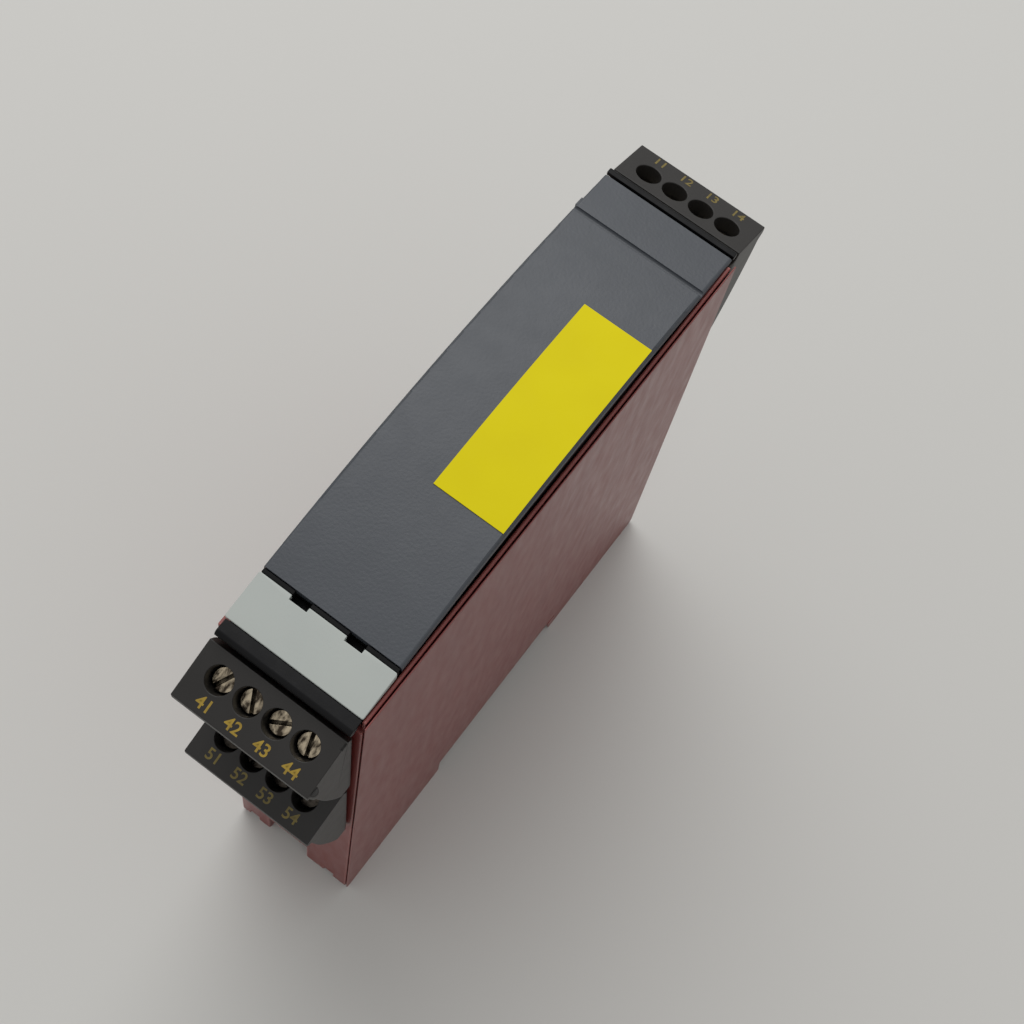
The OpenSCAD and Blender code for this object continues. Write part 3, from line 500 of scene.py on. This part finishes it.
# The same ink in a darker copy, painted shade on the lower near block and also used on the far
# block.
darker_ink = grained_skin(
    "darker_gold_pad_print", "#786828", "#635520", roughness=0.5, grain_mm=0.3,
    grain_depth_mm=0.008, cloud_mm=0.8,
)
for block, (numbers, row_y_mm, shift_x_mm, digit_mm) in NUMBER_ROWS.items():
    print_form = bmesh.new()
    for number, pole_x_mm in zip(numbers, POLE_X_MM):
        above = Vector(((pole_x_mm + shift_x_mm) * MM, row_y_mm * MM, ABOVE_ALL_MM * MM))
        _, spot, normal, _ = block_pieces[block].ray_cast(above, Vector((0, 0, -1)))
        along = Vector((1, 0, 0))
        turn = Matrix((along, normal.cross(along), normal)).transposed().to_4x4()
        lettering = bpy.data.curves.new("lettering", "FONT")
        lettering.body = number
        lettering.size = digit_mm * MM
        lettering.offset = STROKE_MM * MM
        lettering.align_x, lettering.align_y = "CENTER", "CENTER"
        lettering.extrude = INK_MM * MM / 2
        lettering.resolution_u = 4
        writing = bpy.data.objects.new("lettering", lettering)
        digits = writing.to_mesh()
        digits.transform(Matrix.Translation(spot + normal * INK_MM * MM / 2) @ turn)
        print_form.from_mesh(digits)
        writing.to_mesh_clear()
        bpy.data.objects.remove(writing)
        bpy.data.curves.remove(lettering)
    bmesh.ops.remove_doubles(print_form, verts=print_form.verts, dist=INK_WELD_MM * MM)
    bmesh.ops.recalc_face_normals(print_form, faces=print_form.faces)
    print_mesh = bpy.data.meshes.new("terminal_numbers_" + block)
    print_form.to_mesh(print_mesh)
    print_form.free()
    # The lower near row and the far row get the darker ink; on the lower near row it is painted
    # shade.
    print_mesh.materials.append(gold_ink if block == "near_upper" else darker_ink)
    print_piece = bpy.data.objects.new("terminal_numbers_" + block, print_mesh)
    bpy.context.scene.collection.objects.link(print_piece)
    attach(print_piece, "housing")

# Clamp screws: slotted steel screws, turned and nickel plated, one for each pole.
# They are screwed down into the clamp cages, and the lower ones get a darker copy of the plating as
# painted shade under the upper block.
CLAMP_SCREW_EDGE_MM = 0.07
# Shaded nickel: a darker, grey and blotchy copy of the plating with little of its shine left,
# painted shade for the screws under the upper block.
shaded_nickel = worn_metal(
    "shaded_nickel_plate", "#57514a", "#2f2b27", rough_low=0.18, rough_high=0.4,
    mark_mm=0.8, mark_depth_mm=0.04,
)
for block in BLOCKS:
    # The lower row's screws get the darker plating as painted shade.
    plating = shaded_nickel if block == "near_lower" else nickel_plate
    softened("screws_" + block, "_turned", plating, CLAMP_SCREW_EDGE_MM)

# Clamp cages and fork contacts: the cages grip the wires, and the forks grip the header pins.
# Both are punched and bent from bare brass strip, and pressed into the blocks.
for block in BLOCKS:
    dress("clamps_" + block, bare_brass)
    dress("contacts_" + block, bare_brass)

# Rail lock: a moulded black polyamide slider in the foot that grips the rail's edge.
# A zigzag strip of spring steel pushes it back, and folds up as the lock is drawn out; here it is
# one fixed strip that rides with the housing.
LOCK_EDGE_MM, LOCK_TRAVEL_MM = 0.15, 2.6
softened("rail_lock", "_moulded", black_polyamide, LOCK_EDGE_MM, body="lock")
# Spring steel: bright and bluish, with fine drawing lines across the strip.
spring_steel = worn_metal(
    "spring_steel_strip", "#a9abae", "#7d7f82", rough_low=0.22, rough_high=0.36,
    mark_mm=0.5, mark_depth_mm=0.02, stretch=(1.0, 1.0, 0.2),
)
strip = bmesh.new()
strip.from_mesh(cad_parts["lock_spring"].data)
bmesh.ops.remove_doubles(strip, verts=strip.verts, dist=SLIVER_MM * MM)
bmesh.ops.dissolve_degenerate(strip, dist=SLIVER_MM * MM, edges=strip.edges)
strip_mesh = bpy.data.meshes.new("lock_spring_bent")
strip.to_mesh(strip_mesh)
strip.free()
strip_mesh.shade_smooth()
strip_mesh.set_sharp_from_angle(angle=radians(CREASE_DEGREES))
strip_mesh.materials.append(spring_steel)
spring = bpy.data.objects.new("lock_spring_bent", strip_mesh)
bpy.context.scene.collection.objects.link(spring)
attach(spring, "housing")
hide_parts("lock_spring")
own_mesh(spring)

# Floor: a plain pale sheet with a dull painted face, much larger than the picture.
# It lies a hair below the feet, so that the two faces do not fight.
FLOOR_M, FLOOR_GAP_MM = 6.0, 0.02
bpy.ops.mesh.primitive_plane_add(size=FLOOR_M, location=(0.0, 0.0, -FLOOR_GAP_MM * MM))
floor = bpy.context.object
floor.name = "floor"
# Pale paint: an even warm grey with almost no shine.
floor_paint, tree = empty_material("pale_floor")
paint = add_node(tree, "ShaderNodeBsdfPrincipled", {}, {
    "Base Color": to_linear("#c6c5c1"), "Roughness": 0.7,
})
add_node(tree, "ShaderNodeOutputMaterial", {}, {"Surface": paint.outputs["BSDF"]})
floor.data.materials.append(floor_paint)

# Light: an even white room, and one wide soft lamp high over the far left.
# The room fills the shadows, and the lamp draws the soft one to the right of the module.
LAMP_AT_M, LAMP_AIM_M, LAMP_WIDTH_M = (-0.38, 0.42, 0.85), (0.0, 0.0, 0.08), 0.9
world = bpy.data.worlds.new("soft_room")
bpy.context.scene.world = world
world.use_nodes = True
room = world.node_tree.nodes["Background"]
room.inputs["Color"].default_value = to_linear("#ffffff")
room.inputs["Strength"].default_value = 0.56
lamp_data = bpy.data.lights.new("wide_soft_lamp", "AREA")
lamp_data.shape = "DISK"
lamp_data.size = LAMP_WIDTH_M
lamp_data.energy = 5.6
lamp = bpy.data.objects.new("wide_soft_lamp", lamp_data)
lamp.location = LAMP_AT_M
lamp_line = Vector(LAMP_AIM_M) - lamp.location
lamp.rotation_euler = lamp_line.to_track_quat("-Z", "Y").to_euler()
bpy.context.scene.collection.objects.link(lamp)

# Camera: close above the near right corner, as the photograph was taken.
# Its place, turn and lens were fitted to corners of the housing, cover, label and blocks.
CAMERA_AT_MM = (41.75, -85.4, 309.9)
CAMERA_TURN_DEGREES = (21.63, -5.41, 36.25)
camera_data = bpy.data.cameras.new("photo_camera")
camera_data.sensor_width = 36.0
camera_data.lens = 60.6
camera = bpy.data.objects.new("photo_camera", camera_data)
camera.location = [side * MM for side in CAMERA_AT_MM]
camera.rotation_euler = [radians(turn) for turn in CAMERA_TURN_DEGREES]
bpy.context.scene.collection.objects.link(camera)
bpy.context.scene.camera = camera
bpy.context.scene.view_settings.view_transform = "Standard"
